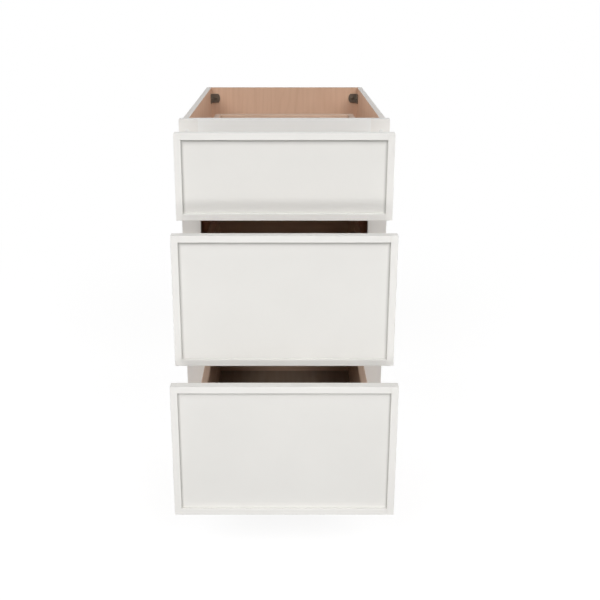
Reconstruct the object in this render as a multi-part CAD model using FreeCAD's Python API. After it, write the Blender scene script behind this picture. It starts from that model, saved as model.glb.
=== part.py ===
import FreeCAD, Part
import os
from FreeCAD import Placement, Rotation, Vector

# Base cabinet with three drawers, in millimetres.
# The working frame has X across the cabinet from its middle, Y from the front of the face frame
# towards the wall, and Z up from the floor. Everything is built with its drawer pushed in, and then
# the drawers are pulled out as they stand. At the end the part is moved along Y, so that its origin
# lies on the floor under the middle of its whole depth, open drawers included.

# ---- Cabinet ----
cabinet_width = 457.2
toe_height = 114.3
toe_setback = 76.2
panel_thickness = 12.7
panel_groove = 6.35
toe_board_thickness = 12.7
frame_thickness = 19.05
frame_overhang = 7.9375
stile_width = 41.275
rail_height = 38.1

# ---- Drawer fronts ----
top_front_height = 180.975
middle_front_height = 276.225
bottom_front_height = 285.75
front_thickness = 19.05
front_side_reveal = 6.35
front_top_reveal = 6.35
front_bottom_reveal = 6.35
front_gap = 3.175
front_border = 14.0
front_recess = 6.35
front_tongue_thickness = 6.35
front_tongue_depth = 7.0

# ---- Drawer boxes ----
box_length = 533.4
box_wall = 15.875
box_edge_round = 3.0
box_side_gap = 4.7625
box_floor_clearance = 14.0
top_box_headroom = 8.3
lower_box_height = 152.4
box_bottom_thickness = 6.35
box_bottom_groove = 6.35
box_bottom_recess = 12.7
dovetail_pitch = 27.0
dovetail_pin_width = 7.5
dovetail_narrowing = 2.4

# ---- Slides ----
slide_width = 34.0
slide_sheet = 1.4
slide_slot = 14.0
slide_web = 4.0
slide_headroom = 1.6
slide_box_clearance = 0.5
slide_front_setback = 3.0
slide_tab_length = 13.0
running_clearance = 0.3
hook_plate = 2.0
hook_width = 16.0
hook_pin_diameter = 6.0
hook_pin_length = 10.0
rear_space = 65.8
bracket_floor = 1.4
bracket_cheek = 1.8
bracket_grip = 35.0
bracket_plate = 3.0
bracket_plate_height = 32.0
bracket_plate_overhang = 8.0
notch_clearance = 2.0

# ---- Locking clips ----
clip_length = 62.0
clip_width = 14.0
clip_height = 12.0
clip_flange = 2.5
clip_flange_width = 26.0
clip_round = 7.0
clip_lever_setback = 22.0
clip_lever_length = 24.0
clip_lever_width = 9.0
clip_lever_height = 4.0
clip_lever_round = 3.6

# ---- Corner brackets ----
corner_bracket_height = 25.0
corner_bracket_side_length = 24.0
corner_bracket_back_length = 25.0
corner_bracket_end_bulge = 4.5
corner_bracket_thickness = 3.0
corner_bracket_bend = 2.4
corner_bracket_screw_setback = 14.0
corner_bracket_drop = 17.0

# ---- Screws and bumpers ----
screw_diameter = 4.0
screw_tip = 3.0
screw_point_diameter = 1.0
screw_head_diameter = 7.4
screw_head_height = 2.2
screw_head_round = 1.0
screw_slot_width = 1.1
screw_slot_length = 4.4
screw_slot_depth = 1.2
sheet_screw_length = 11.0
front_screw_grip = 9.0
front_screw_inset = 70.0
front_screw_edge = 26.0
bumper_diameter = 9.0
bumper_height = 2.0
bumper_round = 0.8
bumper_side_inset = 12.0
bumper_end_inset = 20.0

# ---- How far each drawer stands open ----
top_pulled_out = 125.0
middle_pulled_out = 225.0
bottom_pulled_out = 313.0

# ---- Worked out from the sizes above ----
half_width = cabinet_width / 2
fronts_height = top_front_height + middle_front_height + bottom_front_height + 2 * front_gap
frame_height = front_top_reveal + fronts_height + front_bottom_reveal
cabinet_height = toe_height + frame_height
side_outer = half_width - frame_overhang
side_inner = side_outer - panel_thickness
opening_half = half_width - stile_width
front_half = half_width - front_side_reveal
closed_front_back = -bumper_height - running_clearance
closed_front_face = closed_front_back - front_thickness
box_outer = opening_half - box_side_gap
box_inner = box_outer - box_wall
box_back_y = closed_front_back + box_length
back_panel_y = box_back_y + rear_space
cabinet_depth = back_panel_y + panel_thickness
floor_panel_top = toe_height + rail_height
slide_outer = box_inner - slide_box_clearance
slide_inner = slide_outer - slide_width
slide_middle = (slide_outer + slide_inner) / 2
fixed_channel_height = box_floor_clearance - bracket_floor - slide_headroom
moving_channel_height = box_bottom_recess - slide_headroom
sub_front_inner_y = closed_front_back + box_wall
part_middle_y = (closed_front_face - bottom_pulled_out + cabinet_depth) / 2


def block(x0, x1, y0, y1, z0, z1):
    """A box between two corners."""
    return Part.makeBox(x1 - x0, y1 - y0, z1 - z0, Vector(x0, y0, z0))


def joined(shapes):
    """One clean solid from touching or overlapping solids."""
    return shapes[0].multiFuse(shapes[1:]).removeSplitter()


def mirrored(shape):
    """The same piece on the other side of the cabinet's middle."""
    return shape.mirror(Vector(0, 0, 0), Vector(1, 0, 0))


def prism_along_x(points, x0, x1):
    """A solid from an outline of (y, z) points."""
    outline = [Vector(x0, y, z) for y, z in points]
    face = Part.Face(Part.makePolygon(outline + outline[:1]))
    return face.extrude(Vector(x1 - x0, 0, 0))


def prism_along_y(points, y0, y1):
    """A solid from an outline of (x, z) points."""
    outline = [Vector(x, y0, z) for x, z in points]
    face = Part.Face(Part.makePolygon(outline + outline[:1]))
    return face.extrude(Vector(0, y1 - y0, 0))


def screw(seat, direction, length):
    """A pan-head screw whose head sits on seat and whose shank points along direction."""
    head_radius = screw_head_diameter / 2
    shank_radius = screw_diameter / 2
    head = Part.makeCylinder(head_radius, screw_head_height, Vector(0, 0, -screw_head_height))
    rim = [edge for edge in head.Edges if edge.BoundBox.ZMax < -screw_head_height / 2]
    head = head.makeFillet(screw_head_round, rim)
    for turn in (0, 90):
        slot = Part.makeBox(screw_slot_length, screw_slot_width, screw_slot_depth,
                            Vector(-screw_slot_length / 2, -screw_slot_width / 2, -screw_head_height))
        slot.rotate(Vector(0, 0, 0), Vector(0, 0, 1), turn)
        head = head.cut(slot)
    shank = Part.makeCylinder(shank_radius, length - screw_tip)
    tip = Part.makeCone(shank_radius, screw_point_diameter / 2, screw_tip,
                        Vector(0, 0, length - screw_tip))
    whole = joined([head, shank, tip])
    whole.Placement = Placement(seat, Rotation(Vector(0, 0, 1), direction))
    return whole


def drilled(shape, screws):
    """The shape with a close hole for each screw that enters it."""
    for one in screws:
        if shape.BoundBox.intersect(one.BoundBox):
            shape = shape.cut(one)
    return shape


# ---- Cabinet pieces ----

def cabinet_side():
    """The right-hand side, grooved for the floor panel and rebated for the back."""
    outline = [(frame_thickness, toe_height), (frame_thickness, cabinet_height),
               (cabinet_depth, cabinet_height), (cabinet_depth, 0),
               (toe_setback, 0), (toe_setback, toe_height)]
    side = prism_along_x(outline, side_inner, side_outer)
    return side.cut(floor_panel()).cut(back_panel())


def floor_panel():
    reach = side_inner + panel_groove
    return block(-reach, reach, frame_thickness, back_panel_y,
                 floor_panel_top - panel_thickness, floor_panel_top)


def back_panel():
    reach = side_inner + panel_groove
    return block(-reach, reach, back_panel_y, cabinet_depth, 0, cabinet_height)


def toe_board():
    return block(-side_inner, side_inner, toe_setback, toe_setback + toe_board_thickness,
                 0, floor_panel_top - panel_thickness)


def frame_stile():
    return block(opening_half, half_width, 0, frame_thickness, toe_height, cabinet_height)


def frame_rail(low):
    return block(-opening_half, opening_half, 0, frame_thickness, low, low + rail_height)


def corner_bracket():
    """An angle in the rear top corner: one leg on the side, one with a bowed end on the back."""
    top = cabinet_height - corner_bracket_drop
    low = top - corner_bracket_height
    leg_front = back_panel_y - corner_bracket_thickness
    side_leg = block(side_inner - corner_bracket_thickness, side_inner,
                     back_panel_y - corner_bracket_side_length, back_panel_y, low, top)
    leg_end = side_inner - corner_bracket_back_length
    shoulder = leg_end + corner_bracket_end_bulge
    corners = [Vector(shoulder, leg_front, top), Vector(side_inner, leg_front, top),
               Vector(side_inner, leg_front, low), Vector(shoulder, leg_front, low)]
    bow = Part.Arc(corners[3], Vector(leg_end, leg_front, (low + top) / 2), corners[0])
    outline = Part.Wire([Part.makePolygon(corners), bow.toShape()])
    back_leg = Part.Face(outline).extrude(Vector(0, corner_bracket_thickness, 0))
    bracket = joined([side_leg, back_leg])
    bend = [edge for edge in bracket.Edges
            if abs(edge.CenterOfMass.x - (side_inner - corner_bracket_thickness)) < 0.01
            and abs(edge.CenterOfMass.y - leg_front) < 0.01]
    return bracket.makeFillet(corner_bracket_bend, bend)


def corner_bracket_screws():
    middle = cabinet_height - corner_bracket_drop - corner_bracket_height / 2
    in_side = Vector(side_inner - corner_bracket_thickness,
                     back_panel_y - corner_bracket_screw_setback, middle)
    in_back = Vector(side_inner - corner_bracket_screw_setback,
                     back_panel_y - corner_bracket_thickness, middle)
    return [screw(in_side, Vector(1, 0, 0), sheet_screw_length),
            screw(in_back, Vector(0, 1, 0), sheet_screw_length)]


def frame_bumper(x, z):
    """A soft pad on the face frame, with a rounded rim."""
    pad = Part.makeCylinder(bumper_diameter / 2, bumper_height, Vector(x, -bumper_height, z),
                            Vector(0, 1, 0))
    rim = [edge for edge in pad.Edges if edge.BoundBox.YMax < -bumper_height / 2]
    return pad.makeFillet(bumper_round, rim)


# ---- One drawer ----

class Drawer:
    """The heights that place a drawer, its opening in the face frame and its slides."""

    def __init__(self, name, front_top, front_height, opening_low, box_height, pulled_out):
        self.name = name
        self.front_top = front_top
        self.front_low = front_top - front_height
        self.opening_low = opening_low
        self.box_low = opening_low + box_floor_clearance
        self.box_top = self.box_low + box_height
        self.bottom_low = self.box_low + box_bottom_recess
        self.bottom_top = self.bottom_low + box_bottom_thickness
        self.fixed_low = opening_low + bracket_floor
        self.pulled_out = pulled_out


def front_panel_shape(drawer):
    """The field of the front, flush at the back, with a tongue all round in the frame's groove."""
    face_y = closed_front_face + front_recess
    inner = front_half - front_border
    low = drawer.front_low + front_border
    high = drawer.front_top - front_border
    field = block(-inner, inner, face_y, closed_front_back, low, high)
    tongue = block(-inner - front_tongue_depth, inner + front_tongue_depth, face_y,
                   face_y + front_tongue_thickness, low - front_tongue_depth,
                   high + front_tongue_depth)
    return joined([field, tongue])


def front_rail(drawer, low):
    """A rail of the front, with a stub tenon at each end in the stiles' grooves."""
    inner = front_half - front_border
    tenon_y = closed_front_face + front_recess
    rail = block(-inner, inner, closed_front_face, closed_front_back, low, low + front_border)
    tenon = block(-inner - front_tongue_depth, inner + front_tongue_depth, tenon_y,
                  tenon_y + front_tongue_thickness, low, low + front_border)
    return joined([rail, tenon]).cut(front_panel_shape(drawer))


def front_pieces(drawer):
    panel = front_panel_shape(drawer)
    rail_low = front_rail(drawer, drawer.front_low)
    rail_high = front_rail(drawer, drawer.front_top - front_border)
    stile = block(front_half - front_border, front_half, closed_front_face, closed_front_back,
                  drawer.front_low, drawer.front_top)
    stile = stile.cut(panel).cut(rail_low).cut(rail_high)
    return {"front_stile_left": mirrored(stile), "front_stile_right": stile,
            "front_rail_top": rail_high, "front_rail_bottom": rail_low, "front_panel": panel}


def corner_tails(drawer, outer_y, inner_y):
    """The side's dovetails at one end, wide at outer_y and narrow at inner_y."""
    height = drawer.box_top - drawer.box_low
    count = max(2, round(height / dovetail_pitch))
    pitch = height / count
    tails = []
    for i in range(count):
        middle = drawer.box_low + (i + 0.5) * pitch
        wide = (pitch - dovetail_pin_width) / 2
        narrow = wide - dovetail_narrowing
        outline = [(outer_y, middle - wide), (outer_y, middle + wide),
                   (inner_y, middle + narrow), (inner_y, middle - narrow)]
        tails.append(prism_along_x(outline, box_inner, box_outer))
    return tails


def corner_pins(drawer, outer_y, inner_y, low):
    """What is left of the corner between the tails, from low up: the pins of the front or back."""
    corner = block(box_inner, box_outer, min(outer_y, inner_y), max(outer_y, inner_y), low,
                   drawer.box_top)
    for tail in corner_tails(drawer, outer_y, inner_y):
        corner = corner.cut(tail)
    return corner


def rounded_rim(drawer):
    """The box's four walls in one, with round top edges, except along the drawer front."""
    walls = block(-box_outer, box_outer, closed_front_back, box_back_y, drawer.box_low,
                  drawer.box_top)
    inside = block(-box_inner, box_inner, sub_front_inner_y, box_back_y - box_wall,
                   drawer.box_low, drawer.box_top)
    walls = walls.cut(inside)
    edges = [edge for edge in walls.Edges if edge.BoundBox.ZMin > drawer.box_top - 0.01
             and edge.BoundBox.YMax > closed_front_back + 0.01]
    return walls.makeFillet(box_edge_round, edges)


def box_bottom(drawer):
    reach = box_inner + box_bottom_groove
    return block(-reach, reach, sub_front_inner_y - box_bottom_groove,
                 box_back_y - box_wall + box_bottom_groove, drawer.bottom_low, drawer.bottom_top)


def box_side(drawer):
    side = block(box_inner, box_outer, closed_front_back, box_back_y, drawer.box_low, drawer.box_top)
    front_pins = corner_pins(drawer, closed_front_back, sub_front_inner_y, drawer.box_low)
    back_pins = corner_pins(drawer, box_back_y, box_back_y - box_wall, drawer.bottom_low)
    side = side.cut(front_pins).cut(back_pins)
    return side.cut(box_bottom(drawer)).common(rounded_rim(drawer))


def box_end(drawer, outer_y, inner_y, pins_low):
    """The front or the back of the box, with its pins at both ends."""
    pins = corner_pins(drawer, outer_y, inner_y, pins_low)
    board = block(-box_inner, box_inner, min(outer_y, inner_y), max(outer_y, inner_y),
                  drawer.box_low, drawer.box_top)
    whole = joined([board, pins, mirrored(pins)]).cut(box_bottom(drawer))
    return whole.common(rounded_rim(drawer))


def box_back(drawer):
    """The back is notched where the slides pass under it, and bored for their hooks."""
    back = box_end(drawer, box_back_y, box_back_y - box_wall, drawer.bottom_low)
    notch = block(slide_inner - notch_clearance, box_inner, box_back_y - box_wall, box_back_y,
                  drawer.box_low, drawer.bottom_low)
    bore = slide_hook_pin(drawer)
    return back.cut(notch).cut(mirrored(notch)).cut(bore).cut(mirrored(bore))


def box_pieces(drawer):
    side = box_side(drawer)
    return {"box_left": mirrored(side), "box_right": side,
            "box_front": box_end(drawer, closed_front_back, sub_front_inner_y, drawer.box_low),
            "box_back": box_back(drawer), "box_bottom": box_bottom(drawer)}


# ---- Slides ----

def channel_outline(low, high, lips_up):
    """A lipped channel's outline, open towards the middle member."""
    lip_inner = slide_middle - slide_slot / 2
    lip_outer = slide_middle + slide_slot / 2
    web_inner = slide_inner + slide_sheet
    web_outer = slide_outer - slide_sheet
    if lips_up:
        plate, plate_inside, lip_inside, lip = low, low + slide_sheet, high - slide_sheet, high
    else:
        plate, plate_inside, lip_inside, lip = high, high - slide_sheet, low + slide_sheet, low
    return [(slide_inner, plate), (slide_outer, plate), (slide_outer, lip), (lip_outer, lip),
            (lip_outer, lip_inside), (web_outer, lip_inside), (web_outer, plate_inside),
            (web_inner, plate_inside), (web_inner, lip_inside), (lip_inner, lip_inside),
            (lip_inner, lip), (slide_inner, lip)]


def slide_fixed(drawer):
    """The cabinet member, with a tab under the drawer's side that is screwed to the stile."""
    low = drawer.fixed_low
    high = low + fixed_channel_height
    channel = prism_along_y(channel_outline(low, high, True), slide_front_setback, box_back_y)
    tab_end = slide_front_setback + slide_tab_length
    foot = block(slide_outer, opening_half, slide_front_setback, tab_end, low, low + slide_sheet)
    tab = block(opening_half - slide_sheet, opening_half, slide_front_setback, tab_end, low, high)
    return joined([channel, foot, tab])


def slide_fixed_screw(drawer):
    seat = Vector(opening_half - slide_sheet, slide_front_setback + slide_tab_length / 2,
                  drawer.fixed_low + slide_sheet + (fixed_channel_height - slide_sheet) / 2)
    return screw(seat, Vector(1, 0, 0), sheet_screw_length)


def slide_middle_member(drawer):
    """An upright I section whose flanges run inside the two channels."""
    low = drawer.fixed_low + slide_sheet + running_clearance
    high = drawer.bottom_low - slide_sheet - running_clearance
    flange_inner = slide_inner + slide_sheet + running_clearance
    flange_outer = slide_outer - slide_sheet - running_clearance
    start = sub_front_inner_y + running_clearance
    lower = block(flange_inner, flange_outer, start, box_back_y, low, low + slide_sheet)
    upper = block(flange_inner, flange_outer, start, box_back_y, high - slide_sheet, high)
    web = block(slide_middle - slide_web / 2, slide_middle + slide_web / 2, start, box_back_y,
                low, high)
    return joined([lower, upper, web])


def slide_hook_pin(drawer):
    radius = hook_pin_diameter / 2
    height = drawer.bottom_top + radius + running_clearance
    return Part.makeCylinder(radius, hook_pin_length, Vector(slide_middle, box_back_y, height),
                             Vector(0, -1, 0))


def slide_moving(drawer):
    """The drawer member under the box, with a hook at its rear end that enters the box's back."""
    high = drawer.bottom_low
    channel = prism_along_y(channel_outline(high - moving_channel_height, high, False),
                            sub_front_inner_y, box_back_y)
    plate_top = drawer.bottom_top + hook_pin_diameter + 2 * running_clearance + hook_plate
    plate = block(slide_middle - hook_width / 2, slide_middle + hook_width / 2, box_back_y,
                  box_back_y + hook_plate, high - slide_sheet, plate_top)
    return joined([channel, plate, slide_hook_pin(drawer)])


def slide_rear_bracket(drawer):
    """A socket round the fixed member's rear end that reaches back to a plate on the back panel."""
    low = drawer.opening_low
    high = low + bracket_floor + fixed_channel_height
    start = box_back_y - bracket_grip
    inner = slide_inner - bracket_cheek
    outer = slide_outer + bracket_cheek
    floor = block(inner, outer, start, back_panel_y, low, low + bracket_floor)
    inner_cheek = block(inner, slide_inner, start, back_panel_y, low, high)
    outer_cheek = block(slide_outer, outer, start, back_panel_y, low, high)
    plate = block(inner - bracket_plate_overhang, outer + bracket_plate_overhang,
                  back_panel_y - bracket_plate, back_panel_y, low, low + bracket_plate_height)
    return joined([floor, inner_cheek, outer_cheek, plate])


def slide_rear_screws(drawer):
    cheek_top = drawer.opening_low + bracket_floor + fixed_channel_height
    plate_top = drawer.opening_low + bracket_plate_height
    height = (cheek_top + plate_top) / 2
    face = back_panel_y - bracket_plate
    return [screw(Vector(x, face, height), Vector(0, 1, 0), sheet_screw_length)
            for x in (slide_inner, slide_outer)]


# ---- Clips and drawer screws ----

def locking_clip(drawer):
    """A clip beside the moving member's front end: body, lever and a flange on the box's front."""
    high = drawer.bottom_low
    low = high - clip_height
    front = sub_front_inner_y
    body = block(slide_inner - clip_width, slide_inner, front, front + clip_length, low, high)
    rim = [edge for edge in body.Edges
           if abs(edge.CenterOfMass.y - front - clip_length) < 0.01
           and abs(edge.CenterOfMass.x - slide_inner + clip_width) < 0.01]
    body = body.makeFillet(clip_round, rim)
    flange = block(slide_inner - clip_width - clip_flange_width, slide_inner - clip_width, front,
                   front + clip_flange, low, high)
    lever_start = front + clip_lever_setback
    lever = block(slide_inner - clip_width - clip_lever_width, slide_inner - clip_width, lever_start,
                  lever_start + clip_lever_length, low, low + clip_lever_height)
    tips = [edge for edge in lever.Edges
            if abs(edge.CenterOfMass.x - slide_inner + clip_width + clip_lever_width) < 0.01
            and abs(edge.CenterOfMass.z - low - clip_lever_height / 2) < 0.01]
    lever = lever.makeFillet(clip_lever_round, tips)
    return joined([body, flange, lever])


def drawer_screws(drawer):
    """Four screws from inside the box into the front, and one in each clip's flange."""
    length = box_wall + front_screw_grip
    lower = drawer.bottom_top + front_screw_edge
    upper = drawer.box_top - front_screw_edge
    x = box_inner - front_screw_inset
    front_screw_points = [(side * x, z) for side in (-1, 1) for z in (lower, upper)]
    screws = [screw(Vector(px, sub_front_inner_y, pz), Vector(0, -1, 0), length)
              for px, pz in front_screw_points]
    clip_x = slide_inner - clip_width - clip_flange_width / 2
    clip_z = drawer.bottom_low - clip_height / 2
    for side in (-1, 1):
        seat = Vector(side * clip_x, sub_front_inner_y + clip_flange, clip_z)
        screws.append(screw(seat, Vector(0, -1, 0), sheet_screw_length))
    return screws


# ---- Putting it together ----

def stacked_drawers():
    """The three drawers from the top down, with a rail behind each gap between their fronts."""
    top_front = cabinet_height - front_top_reveal
    middle_front = top_front - top_front_height - front_gap
    bottom_front = middle_front - middle_front_height - front_gap
    upper_rail = middle_front + front_gap / 2 - rail_height / 2
    lower_rail = bottom_front + front_gap / 2 - rail_height / 2
    top_opening = cabinet_height - rail_height - (upper_rail + rail_height)
    top_box_height = top_opening - box_floor_clearance - top_box_headroom
    drawers = [
        Drawer("top", top_front, top_front_height, upper_rail + rail_height, top_box_height,
               top_pulled_out),
        Drawer("middle", middle_front, middle_front_height, lower_rail + rail_height,
               lower_box_height, middle_pulled_out),
        Drawer("bottom", bottom_front, bottom_front_height, floor_panel_top, lower_box_height,
               bottom_pulled_out)]
    return drawers, upper_rail, lower_rail


def pulled(shape, distance):
    shape = shape.copy()
    shape.translate(Vector(0, -distance, 0))
    return shape


def both_sides(shape):
    return [shape, mirrored(shape)]


def cabinet_nodes(drawers, upper_rail, lower_rail):
    screws = []
    for one in corner_bracket_screws():
        screws += both_sides(one)
    for drawer in drawers:
        for one in [slide_fixed_screw(drawer)] + slide_rear_screws(drawer):
            screws += both_sides(one)
    side = cabinet_side()
    stile = frame_stile()
    nodes = {
        "side_left": [drilled(mirrored(side), screws)],
        "side_right": [drilled(side, screws)],
        "back_panel": [drilled(back_panel(), screws)],
        "floor_panel": [floor_panel()],
        "toe_kick_board": [toe_board()],
        "frame_stile_left": [drilled(mirrored(stile), screws)],
        "frame_stile_right": [drilled(stile, screws)],
        "frame_top_rail": [frame_rail(cabinet_height - rail_height)],
        "frame_upper_rail": [frame_rail(upper_rail)],
        "frame_lower_rail": [frame_rail(lower_rail)],
        "frame_bottom_rail": [frame_rail(toe_height)],
        "corner_brackets": [drilled(one, screws) for one in both_sides(corner_bracket())],
        "cabinet_screws": screws}
    nodes["slide_rear_brackets"] = []
    nodes["frame_bumpers"] = []
    for drawer in drawers:
        fixed = both_sides(slide_fixed(drawer))
        nodes["slide_" + drawer.name + "_fixed"] = [drilled(one, screws) for one in fixed]
        brackets = both_sides(slide_rear_bracket(drawer))
        nodes["slide_rear_brackets"] += [drilled(one, screws) for one in brackets]
        for z in (drawer.front_low + bumper_end_inset, drawer.front_top - bumper_end_inset):
            nodes["frame_bumpers"] += both_sides(frame_bumper(front_half - bumper_side_inset, z))
    return nodes


def drawer_nodes(drawer):
    screws = drawer_screws(drawer)
    prefix = "drawer_" + drawer.name + "_"
    pieces = {}
    for name, shape in {**front_pieces(drawer), **box_pieces(drawer)}.items():
        pieces[prefix + name] = [drilled(shape, screws)]
    pieces[prefix + "screws"] = screws
    pieces[prefix + "clips"] = [drilled(one, screws) for one in both_sides(locking_clip(drawer))]
    pieces["slide_" + drawer.name + "_moving"] = both_sides(slide_moving(drawer))
    nodes = {name: [pulled(one, drawer.pulled_out) for one in shapes]
             for name, shapes in pieces.items()}
    nodes["slide_" + drawer.name + "_middle"] = [
        pulled(one, drawer.pulled_out / 2) for one in both_sides(slide_middle_member(drawer))]
    return nodes


def main():
    os.makedirs("parts", exist_ok=True)
    drawers, upper_rail, lower_rail = stacked_drawers()
    nodes = cabinet_nodes(drawers, upper_rail, lower_rail)
    for drawer in drawers:
        nodes.update(drawer_nodes(drawer))
    for name, solids in nodes.items():
        shape = solids[0].copy() if len(solids) == 1 else Part.makeCompound(solids)
        shape.translate(Vector(0, -part_middle_y, 0))
        shape.exportStep("parts/" + name + ".step")


main()
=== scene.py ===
import math
import random

import bpy
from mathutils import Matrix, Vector


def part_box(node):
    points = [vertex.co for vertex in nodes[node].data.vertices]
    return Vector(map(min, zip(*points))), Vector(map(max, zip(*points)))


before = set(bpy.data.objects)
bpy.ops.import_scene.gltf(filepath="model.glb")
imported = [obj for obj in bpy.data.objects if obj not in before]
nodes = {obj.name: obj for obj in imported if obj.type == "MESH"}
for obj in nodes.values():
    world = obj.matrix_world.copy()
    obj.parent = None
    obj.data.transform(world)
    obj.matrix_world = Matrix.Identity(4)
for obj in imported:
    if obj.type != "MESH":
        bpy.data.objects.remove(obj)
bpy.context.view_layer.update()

DRAWERS = ("top", "middle", "bottom")

# Colours as the surface has them, in linear light.
PAINT = (0.893, 0.878, 0.846)
FACE_PAINT = (0.930, 0.932, 0.914)
PANEL_PAINT = (0.834, 0.821, 0.789)
PAINTED_EDGE = (0.700, 0.668, 0.630)
PLY_LIGHT = (0.755, 0.510, 0.368)
PLY_DARK = (0.655, 0.418, 0.286)
PLY_LAYERS = ((0.600, 0.430, 0.310), (0.420, 0.285, 0.195))
MAPLE_LIGHT = (0.670, 0.490, 0.378)
MAPLE_DARK = (0.560, 0.388, 0.288)
ZINC = (0.600, 0.612, 0.628)
SCREW_ZINC = (0.560, 0.530, 0.470)
BRONZE = (0.170, 0.135, 0.105)
BRACKET = (0.150, 0.115, 0.085)
CLIP = (0.270, 0.285, 0.300)
BUMPER = (0.860, 0.860, 0.840)
FLOOR = (0.250, 0.250, 0.250)

# What the upward edges of the face frame and of the fronts keep of their paint's colour; on the fronts
# this is painted shade on their top faces.
FACE_EDGE_TONE = 0.74
FRONT_TOP_SHADE_TONE = 0.84
# What a front panel keeps of its colour where the painted shade along the top and sides of its recess
# is darkest, and how far down from the top of the opening, and in from its sides, that painted shade
# reaches.
RECESS_SHADE_TONE = 0.66
RECESS_SHADE_REACH = {"top": (0.0130, 0.0060), "middle": (0.0105, 0.0062), "bottom": (0.0060, 0.0048)}
# How the painted shade at the top fades, and its strength beside that of the sides.
RECESS_SHADE_TOP_CURVE = 1.3
RECESS_SHADE_TOP_SHARE = 0.82
# What a drawer bottom keeps of the plywood's red, green and blue: painted shade, darker and greyer,
# for the deep shade inside the drawers seen through the gaps between the fronts.
BOTTOM_SHADE_TONE = (0.52, 0.60, 0.64)

# Widths of the eased edges, in metres.
EASED_FRAME = 0.0005
EASED_FRONT = 0.0006
EASED_PANEL = 0.0003
EASED_SHEET = 0.0004
EASED_FLOOR_PANEL = 0.0003
EASED_BOX = 0.0002

# Voronoi cells a metre in the zinc of the slides and of the screws.
SLIDE_SPANGLE = 260.0
SCREW_SPANGLE = 900.0

# A Mix node's sockets, by kind: names alone don't tell them apart.
MIX_COLOUR_A, MIX_COLOUR_B, MIX_COLOUR_RESULT = 6, 7, 2
MIX_NUMBER_A, MIX_NUMBER_B, MIX_NUMBER_RESULT = 2, 3, 0


# ---- Node trees ----

class Finish:
    """A material, with short calls for the nodes that its look is made of."""

    def __init__(self, name, metallic=0.0, specular=0.5):
        self.material = bpy.data.materials.new(name)
        self.material.use_nodes = True
        self.tree = self.material.node_tree
        self.shader = self.tree.nodes["Principled BSDF"]
        self.shader.inputs["Metallic"].default_value = metallic
        self.shader.inputs["Specular IOR Level"].default_value = specular
        places = self.add("TexCoord")
        self.place = places.outputs["Object"]
        self.normal = places.outputs["Normal"]

    def add(self, kind, **settings):
        node = self.tree.nodes.new("ShaderNode" + kind)
        for key, value in settings.items():
            setattr(node, key, value)
        return node

    def add_linked(self, kind, value):
        node = self.add(kind)
        self.join(node.inputs[0], value)
        return node

    def join(self, socket, value):
        """Links an output to the socket, or sets the socket to a number or colour."""
        if isinstance(value, bpy.types.NodeSocket):
            self.tree.links.new(value, socket)
        elif socket.type == "RGBA":
            socket.default_value = (*value, 1.0)
        else:
            socket.default_value = value

    def math(self, operation, *values, clamp=False):
        node = self.add("Math", operation=operation, use_clamp=clamp)
        for socket, value in zip(node.inputs, values):
            self.join(socket, value)
        return node.outputs[0]

    def axes(self, vector):
        return self.add_linked("SeparateXYZ", vector).outputs

    def scaled(self, factors):
        """The place with each axis stretched by its own factor."""
        node = self.add("VectorMath", operation="MULTIPLY")
        self.join(node.inputs[0], self.place)
        self.join(node.inputs[1], factors)
        return node.outputs[0]

    def moved(self, vector, shift):
        node = self.add("VectorMath", operation="ADD")
        self.join(node.inputs[0], vector)
        self.join(node.inputs[1], shift)
        return node.outputs[0]

    def noise(self, vector, scale=1.0, detail=2.0, distortion=0.0):
        node = self.add("TexNoise")
        self.join(node.inputs["Vector"], vector)
        node.inputs["Scale"].default_value = scale
        node.inputs["Detail"].default_value = detail
        node.inputs["Distortion"].default_value = distortion
        return node.outputs["Fac"]

    def ranged(self, value, low, high, to_low=0.0, to_high=1.0):
        node = self.add("MapRange")
        self.join(node.inputs["Value"], value)
        node.inputs["From Min"].default_value = low
        node.inputs["From Max"].default_value = high
        node.inputs["To Min"].default_value = to_low
        node.inputs["To Max"].default_value = to_high
        return node.outputs["Result"]

    def spread(self, noise, to_low=0.0, to_high=1.0):
        """The middle values of a noise, where most of it lies, spread over a range."""
        return self.ranged(noise, 0.3, 0.7, to_low, to_high)

    def mixed(self, share, first, second):
        node = self.add("Mix", data_type="RGBA")
        self.join(node.inputs["Factor"], share)
        self.join(node.inputs[MIX_COLOUR_A], first)
        self.join(node.inputs[MIX_COLOUR_B], second)
        return node.outputs[MIX_COLOUR_RESULT]

    def colour(self, value):
        self.join(self.shader.inputs["Base Color"], value)

    def roughness(self, value):
        self.join(self.shader.inputs["Roughness"], value)

    def bumps(self, *layers):
        """Each layer is a height and how tall it stands in metres."""
        before = None
        for height, tall in layers:
            node = self.add("Bump")
            node.inputs["Distance"].default_value = tall
            self.join(node.inputs["Height"], height)
            if before is not None:
                self.join(node.inputs["Normal"], before)
            before = node.outputs["Normal"]
        self.join(self.shader.inputs["Normal"], before)


def toned(colour, tone):
    """A colour times one number."""
    return tuple(c * tone for c in colour)


def along(axis, one, others):
    """Three factors, of which the one for the named axis differs."""
    return tuple(one if name == axis else others for name in "xyz")


def facing(f, axis):
    """1 where the surface looks along the axis, either way."""
    part = f.axes(f.normal)["xyz".index(axis)]
    return f.ranged(f.math("ABSOLUTE", part), 0.55, 0.75)


# ---- Paint ----

def with_recess_shade(f, coat, colour, opening, shade_reach):
    """The coat of a panel with painted shade where it passes into its frame at the sides and top of
    the opening, which is given by its left, right and top."""
    left, right, top = opening
    down, inward = shade_reach
    place = f.axes(f.place)
    from_side = f.math("MINIMUM", f.math("SUBTRACT", place[0], left),
                       f.math("SUBTRACT", right, place[0]))
    by_side = f.ranged(from_side, inward, 0.0)
    by_top = f.ranged(f.math("SUBTRACT", top, place[2]), down, 0.0)
    by_top = f.math("MULTIPLY", f.math("POWER", by_top, RECESS_SHADE_TOP_CURVE), RECESS_SHADE_TOP_SHARE)
    return f.mixed(f.math("MAXIMUM", by_side, by_top), coat, toned(colour, RECESS_SHADE_TONE))


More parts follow.
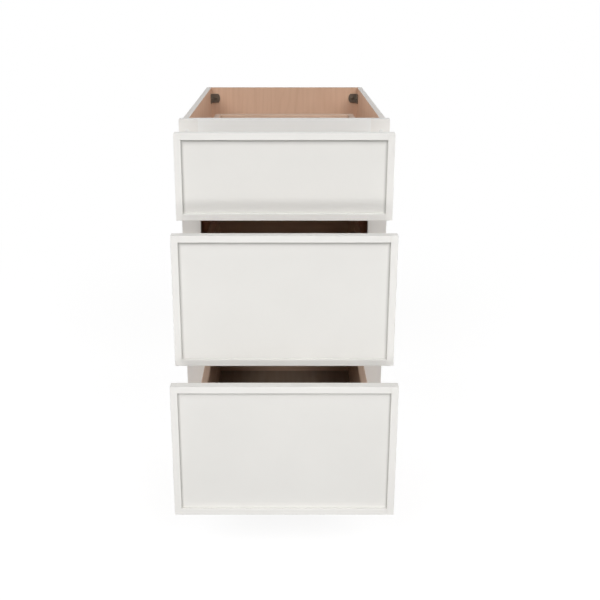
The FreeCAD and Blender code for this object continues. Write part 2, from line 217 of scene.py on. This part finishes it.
def paint(name, colour, grain=None, edge_tone=None, opening=None, shade_reach=None):
    """Sprayed satin paint: fine orange peel, faint clouds and, on solid wood, a trace of its grain.
    With an edge_tone, upward edges take that share of the colour, which on the fronts is painted
    shade. With an opening, painted shade is laid along its top and sides, as far in as the last
    argument gives."""
    f = Finish(name)
    clouds = f.noise(f.place, scale=7.0, detail=3.0)
    coat = f.mixed(f.spread(clouds), toned(colour, 0.975), colour)
    # Upward faces made darker: on the fronts this is painted shade on their top faces.
    if edge_tone:
        up = f.ranged(f.axes(f.normal)[2], 0.6, 0.9)
        coat = f.mixed(up, coat, toned(colour, edge_tone))
    # Painted shade along the top and sides of the panel, where it meets its frame.
    if opening:
        coat = with_recess_shade(f, coat, colour, opening, shade_reach)
    f.colour(coat)
    f.roughness(f.spread(f.noise(f.place, scale=40.0, detail=3.0), 0.36, 0.46))
    orange_peel = f.noise(f.place, scale=420.0)
    dust = f.noise(f.place, scale=1700.0, detail=1.0)
    layers = [(orange_peel, 0.00007), (dust, 0.00002)]
    if grain:
        layers.append((f.noise(f.scaled(along(grain, 9.0, 520.0)), detail=3.0), 0.00004))
    f.bumps(*layers)
    return f.material


# ---- Wood ----

def wood_figure(f, name, grain, seed, ring, heart, wander):
    """Growth rings round a heart beside the board, as (line, streak, fibre), each from 0 to 1.
    In metres, ring is their spacing, heart how far off their middle is and wander their sway."""
    draw = random.Random(seed)
    low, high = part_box(name)
    size, centre = high - low, (low + high) / 2
    g = "xyz".index(grain)
    thin = min((i for i in range(3) if i != g), key=lambda i: size[i])
    wide = 3 - g - thin
    side = draw.choice((-1, 1))
    heart_thin = centre[thin] + side * heart * draw.uniform(0.8, 1.3)
    heart_wide = centre[wide] + draw.uniform(-0.3, 0.3) * size[wide]
    tilt = draw.uniform(0.02, 0.06) * draw.choice((-1, 1))
    shift = tuple(draw.uniform(-9, 9) for _ in range(3))
    c = f.axes(f.place)
    slow = f.moved(f.scaled(along(grain, 1.6, 7.0)), shift)
    bend = f.math("MULTIPLY", f.math("SUBTRACT", f.noise(slow), 0.5), wander)
    other = f.noise(f.moved(slow, (4.3, 1.7, 2.9)))
    sway = f.math("MULTIPLY", f.math("SUBTRACT", other, 0.5), wander)
    lean = f.math("MULTIPLY", f.math("SUBTRACT", c[g], centre[g]), tilt)
    u = f.math("ADD", f.math("SUBTRACT", c[thin], heart_thin), f.math("ADD", lean, bend))
    v = f.math("ADD", f.math("SUBTRACT", c[wide], heart_wide), sway)
    far = f.math("SQRT", f.math("ADD", f.math("MULTIPLY", u, u), f.math("MULTIPLY", v, v)))
    wave = f.math("SINE", f.math("MULTIPLY", far, 2 * math.pi / ring))
    line = f.math("POWER", f.ranged(wave, -1.0, 1.0), 4.0)
    streak = f.noise(f.moved(f.scaled(along(grain, 3.0, 95.0)), shift), detail=4.0, distortion=0.3)
    fibre = f.noise(f.moved(f.scaled(along(grain, 45.0, 1300.0)), shift))
    return line, streak, fibre


def wood_tone(f, figure, light, dark, ring_share, streak_share, fibre_share):
    """The wood's colour, darkened by each part of the figure by its share."""
    line, streak, fibre = figure
    share = f.math("MULTIPLY", f.spread(streak), streak_share)
    share = f.math("ADD", share, f.math("MULTIPLY", line, ring_share))
    share = f.math("ADD", share, f.math("MULTIPLY", f.ranged(fibre, 0.35, 0.75), fibre_share),
                   clamp=True)
    return f.mixed(share, light, dark)


def maple(name, grain, seed):
    """Solid maple under clear satin lacquer, with end grain where the boards end."""
    f = Finish("maple_" + name, specular=0.15)
    figure = wood_figure(f, name, grain, seed, ring=0.0042, heart=0.085, wander=0.020)
    line, streak, fibre = figure
    face = wood_tone(f, figure, MAPLE_LIGHT, MAPLE_DARK,
                     ring_share=0.28, streak_share=0.55, fibre_share=0.22)
    pores = f.noise(f.place, scale=1500.0)
    end = f.mixed(f.math("MULTIPLY", f.math("ADD", line, pores), 0.6),
                  toned(MAPLE_LIGHT, 0.80), toned(MAPLE_DARK, 0.72))
    f.colour(f.mixed(facing(f, grain), face, end))
    f.roughness(f.spread(streak, 0.36, 0.50))
    f.bumps((fibre, 0.00005), (line, 0.00002))
    return f.material


def ply_layers(f, name, thin, count):
    """The edge of a sheet: layers whose grain lies across and along, with a thin line of glue."""
    low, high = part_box(name)
    c = f.axes(f.place)[thin]
    depth = f.ranged(c, low[thin], high[thin], 0.0, float(count))
    odd = f.math("GREATER_THAN", f.math("MODULO", depth, 2.0), 1.0)
    inside = f.math("COMPARE", f.math("FRACT", depth), 0.5, 0.44)
    speck = f.noise(f.place, scale=900.0, detail=3.0)
    layer = f.mixed(odd, *PLY_LAYERS)
    layer = f.mixed(f.ranged(speck, 0.35, 0.7, 0.0, 0.45), layer, PLY_LAYERS[1])
    glue = toned(PLY_LAYERS[1], 0.6)
    return f.mixed(f.math("MULTIPLY", f.math("SUBTRACT", 1.0, inside), 0.5), layer, glue)


def plywood(name, grain, seed, count=9, tone=(1.0, 1.0, 1.0), painted_side=0):
    """Maple-faced plywood of the given count of layers. Where its outer face and top edge are
    painted, painted_side is the sign of X on which the outer face lies. Its faces' colours are
    multiplied by tone, which on the drawer bottoms is painted shade."""
    f = Finish("plywood_" + name, specular=0.2)
    low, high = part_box(name)
    size = high - low
    thin = min(range(3), key=lambda i: size[i])
    figure = wood_figure(f, name, grain, seed, ring=0.0105, heart=0.150, wander=0.085)
    streak, fibre = figure[1:]
    light, dark = (tuple(c * t for c, t in zip(colour, tone)) for colour in (PLY_LIGHT, PLY_DARK))
    face = wood_tone(f, figure, light, dark, ring_share=0.20, streak_share=0.45, fibre_share=0.25)
    edge = ply_layers(f, name, thin, count)
    colour = f.mixed(facing(f, "xyz"[thin]), edge, face)
    if painted_side:
        up = f.ranged(f.axes(f.normal)[2], 0.55, 0.75)
        colour = f.mixed(up, colour, PAINTED_EDGE)
        outward = f.math("MULTIPLY", f.axes(f.normal)[0], float(painted_side))
        colour = f.mixed(f.ranged(outward, 0.3, 0.6), colour, PAINT)
    f.colour(colour)
    f.roughness(f.spread(streak, 0.42, 0.56))
    f.bumps((fibre, 0.00006), (streak, 0.00004))
    return f.material


# ---- Metal and plastic ----

def zinc(name, colour, spangle, dark_above=None):
    """Plated steel: small grey spangles, with fine scratches along its length.
    Above the height dark_above the steel is bronzed."""
    f = Finish(name, metallic=1.0)
    cells = f.add("TexVoronoi")
    f.join(cells.inputs["Vector"], f.place)
    cells.inputs["Scale"].default_value = spangle
    grey = f.add_linked("SeparateColor", cells.outputs["Color"]).outputs[0]
    scratch = f.noise(f.scaled(along("y", 60.0, 2600.0)))
    share = f.math("MULTIPLY", f.math("ADD", grey, scratch), 0.5)
    tone = f.mixed(share, toned(colour, 0.84), colour)
    if dark_above:
        high = f.math("GREATER_THAN", f.axes(f.place)[2], dark_above)
        tone = f.mixed(high, tone, BRONZE)
    f.colour(tone)
    f.roughness(f.spread(f.noise(f.place, scale=55.0, detail=4.0), 0.30, 0.44))
    f.bumps((scratch, 0.00002))
    return f.material


def plastic(name, colour, rough):
    """Moulded plastic with a spark-eroded grain."""
    f = Finish(name)
    speck = f.noise(f.place, scale=2600.0, detail=3.0)
    blot = f.noise(f.place, scale=60.0)
    share = f.math("MULTIPLY", f.math("ADD", speck, blot), 0.5)
    f.colour(f.mixed(share, toned(colour, 0.88), toned(colour, 1.10)))
    f.roughness(f.spread(blot, rough - 0.05, rough + 0.06))
    f.bumps((speck, 0.00004))
    return f.material


# ---- The pieces' finishes ----

def dress(name, material, edge=0.0):
    """Gives a node its material, and eased edges of the given width."""
    piece = nodes[name]
    piece.data.materials.clear()
    piece.data.materials.append(material)
    if edge:
        weld = piece.modifiers.new("Weld", "WELD")
        weld.merge_threshold = 0.00002
        bevel = piece.modifiers.new("Eased edges", "BEVEL")
        bevel.width = edge
        bevel.segments = 2
        bevel.limit_method = "ANGLE"
        bevel.angle_limit = math.radians(40)
        bevel.use_clamp_overlap = True


face_paint = {axis: paint("paint_face_" + axis, colour, axis, FACE_EDGE_TONE)
              for axis, colour in (("x", FACE_PAINT), ("z", PAINT))}
# The fronts' paint carries painted shade on its upward faces.
front_paint = {axis: paint("paint_front_" + axis, PAINT, axis, FRONT_TOP_SHADE_TONE) for axis in "xz"}
slide_zinc = zinc("zinc", ZINC, SLIDE_SPANGLE)
screw_zinc = zinc("screw_zinc", SCREW_ZINC, SCREW_SPANGLE)
bracket_plastic = plastic("bracket_plastic", BRACKET, rough=0.48)
clip_plastic = plastic("clip_plastic", CLIP, rough=0.42)
bumper_plastic = plastic("bumper_plastic", BUMPER, rough=0.30)

for name in ("frame_stile_left", "frame_stile_right"):
    dress(name, face_paint["z"], EASED_FRAME)
for name in ("frame_top_rail", "frame_upper_rail", "frame_lower_rail", "frame_bottom_rail",
             "toe_kick_board"):
    dress(name, face_paint["x"], EASED_FRAME)
dress("corner_brackets", bracket_plastic)
dress("slide_rear_brackets", bracket_plastic)
dress("frame_bumpers", bumper_plastic)
# The corner brackets' own screws are bronzed like them.
bracket_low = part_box("corner_brackets")[0][2]
dress("cabinet_screws", zinc("cabinet_screws", SCREW_ZINC, SCREW_SPANGLE, bracket_low))
dress("side_left", plywood("side_left", "z", seed=11, painted_side=-1), EASED_SHEET)
dress("side_right", plywood("side_right", "z", seed=12, painted_side=1), EASED_SHEET)
dress("back_panel", plywood("back_panel", "z", seed=13), EASED_SHEET)
dress("floor_panel", plywood("floor_panel", "x", seed=14), EASED_FLOOR_PANEL)

for i, drawer in enumerate(DRAWERS):
    start = "drawer_" + drawer + "_"
    for part, axis in (("front_stile_left", "z"), ("front_stile_right", "z"),
                       ("front_rail_top", "x"), ("front_rail_bottom", "x")):
        dress(start + part, front_paint[axis], EASED_FRONT)
    opening = (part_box(start + "front_stile_left")[1][0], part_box(start + "front_stile_right")[0][0],
               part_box(start + "front_rail_top")[0][2])
    # Each panel's paint carries painted shade where it passes into its frame.
    panel_paint = paint("paint_panel_" + drawer, PANEL_PAINT,
                        opening=opening, shade_reach=RECESS_SHADE_REACH[drawer])
    dress(start + "front_panel", panel_paint, EASED_PANEL)
    for j, (part, axis) in enumerate((("box_left", "y"), ("box_right", "y"), ("box_front", "x"),
                                      ("box_back", "x"))):
        name = start + part
        dress(name, maple(name, axis, seed=100 + 10 * i + j), EASED_BOX)
    name = start + "box_bottom"
    # The drawer bottoms take painted shade: darker and greyer than the rest of the plywood.
    dress(name, plywood(name, "y", seed=200 + i, count=5, tone=BOTTOM_SHADE_TONE))
    dress(start + "screws", screw_zinc)
    dress(start + "clips", clip_plastic)
    for part in ("fixed", "middle", "moving"):
        dress("slide_" + drawer + "_" + part, slide_zinc)


# ---- Floor, light and camera ----

def seen_by_eye(tree):
    """1 for rays from the camera, a mirror or clear glass, which see plain white all round."""
    path = tree.nodes.new("ShaderNodeLightPath")
    total = path.outputs["Is Camera Ray"]
    for name in ("Is Glossy Ray", "Is Transmission Ray"):
        node = tree.nodes.new("ShaderNodeMath")
        node.operation = "MAXIMUM"
        tree.links.new(total, node.inputs[0])
        tree.links.new(path.outputs[name], node.inputs[1])
        total = node.outputs[0]
    return total


def make_floor(half, near, far, glow, shadow_share):
    """A grey floor as far as the light it sends back to the object goes. To the eye it is white,
    with soft shadows round the object that fade out between the distances near and far. There
    glow is the light it gives off, and shadow_share what it shows of the light that falls on it."""
    mesh = bpy.data.meshes.new("floor")
    corners = [(-half, -half, 0), (half, -half, 0), (half, half, 0), (-half, half, 0)]
    mesh.from_pydata(corners, [], [(0, 1, 2, 3)])
    floor = bpy.data.objects.new("floor", mesh)
    bpy.context.scene.collection.objects.link(floor)
    material = bpy.data.materials.new("floor")
    material.use_nodes = True
    tree = material.node_tree
    tree.nodes.clear()
    output = tree.nodes.new("ShaderNodeOutputMaterial")
    mix = tree.nodes.new("ShaderNodeMixShader")
    plain = tree.nodes.new("ShaderNodeBsdfDiffuse")
    plain.inputs["Color"].default_value = (*FLOOR, 1.0)
    shaded = tree.nodes.new("ShaderNodeBsdfDiffuse")
    shaded.inputs["Color"].default_value = (shadow_share,) * 3 + (1.0,)
    light = tree.nodes.new("ShaderNodeEmission")
    light.inputs["Strength"].default_value = glow
    white = tree.nodes.new("ShaderNodeEmission")
    place = tree.nodes.new("ShaderNodeTexCoord")
    distance = tree.nodes.new("ShaderNodeVectorMath")
    distance.operation = "LENGTH"
    fade = tree.nodes.new("ShaderNodeMapRange")
    fade.interpolation_type = "SMOOTHSTEP"
    fade.inputs["From Min"].default_value = near
    fade.inputs["From Max"].default_value = far
    faded = tree.nodes.new("ShaderNodeMixShader")
    both = tree.nodes.new("ShaderNodeAddShader")
    tree.links.new(place.outputs["Object"], distance.inputs[0])
    tree.links.new(distance.outputs["Value"], fade.inputs["Value"])
    tree.links.new(fade.outputs["Result"], faded.inputs[0])
    tree.links.new(both.outputs[0], faded.inputs[1])
    tree.links.new(white.outputs[0], faded.inputs[2])
    tree.links.new(shaded.outputs[0], both.inputs[0])
    tree.links.new(light.outputs[0], both.inputs[1])
    tree.links.new(seen_by_eye(tree), mix.inputs[0])
    tree.links.new(plain.outputs[0], mix.inputs[1])
    tree.links.new(faded.outputs[0], mix.inputs[2])
    tree.links.new(mix.outputs[0], output.inputs[0])
    mesh.materials.append(material)


def make_world(strength):
    """Light from all round of the given strength, and a white background."""
    world = bpy.data.worlds.new("world")
    bpy.context.scene.world = world
    world.use_nodes = True
    tree = world.node_tree
    background = tree.nodes["Background"]
    mix = tree.nodes.new("ShaderNodeMix")
    mix.inputs[MIX_NUMBER_A].default_value = strength
    mix.inputs[MIX_NUMBER_B].default_value = 1.0
    tree.links.new(seen_by_eye(tree), mix.inputs[0])
    tree.links.new(mix.outputs[MIX_NUMBER_RESULT], background.inputs["Strength"])
    background.inputs["Color"].default_value = (1.0, 1.0, 1.0, 1.0)


def make_lamp(name, place, target, size, watts):
    data = bpy.data.lights.new(name, "AREA")
    data.shape = "RECTANGLE"
    data.size, data.size_y = size
    data.energy = watts
    lamp = bpy.data.objects.new(name, data)
    lamp.location = place
    lamp.rotation_euler = (Vector(target) - Vector(place)).to_track_quat("-Z", "Y").to_euler()
    bpy.context.scene.collection.objects.link(lamp)


make_floor(half=30.0, near=0.9, far=2.2, glow=0.86, shadow_share=0.24)
make_world(strength=0.06)

FRONTS_MIDDLE = (0.0, -0.35, 0.50)
for side, label in ((-1, "left"), (1, "right")):
    make_lamp("lamp_key_" + label, place=(1.75 * side, -3.70, 3.10), target=FRONTS_MIDDLE,
              size=(2.0, 2.0), watts=55.5)
    make_lamp("lamp_upper_" + label, place=(2.20 * side, -2.55, 3.61), target=FRONTS_MIDDLE,
              size=(2.2, 2.2), watts=42.0)
    make_lamp("lamp_side_" + label, place=(3.4 * side, 1.1, 1.7), target=(0.0, 0.1, 0.5),
              size=(2.0, 2.0), watts=28.0)
    make_lamp("lamp_low_" + label, place=(0.48 * side, -1.75, 0.12), target=(0.0, -0.5, 0.20),
              size=(0.4, 0.2), watts=2.65)
make_lamp("lamp_rear", place=(0.0, 4.4, 0.8), target=(0.0, 0.4, 0.8), size=(8.0, 1.5), watts=80.0)

camera_data = bpy.data.cameras.new("camera")
camera_data.sensor_width = 36.0
camera_data.lens = 50.574
camera_data.shift_x = 0.02617
camera_data.shift_y = -0.10833
camera = bpy.data.objects.new("camera", camera_data)
camera.location = (0.0, -1.956025, 1.1486)
camera.rotation_euler = (math.radians(73.657), 0.0, 0.0)
bpy.context.scene.collection.objects.link(camera)
bpy.context.scene.camera = camera
bpy.context.scene.view_settings.view_transform = "Standard"
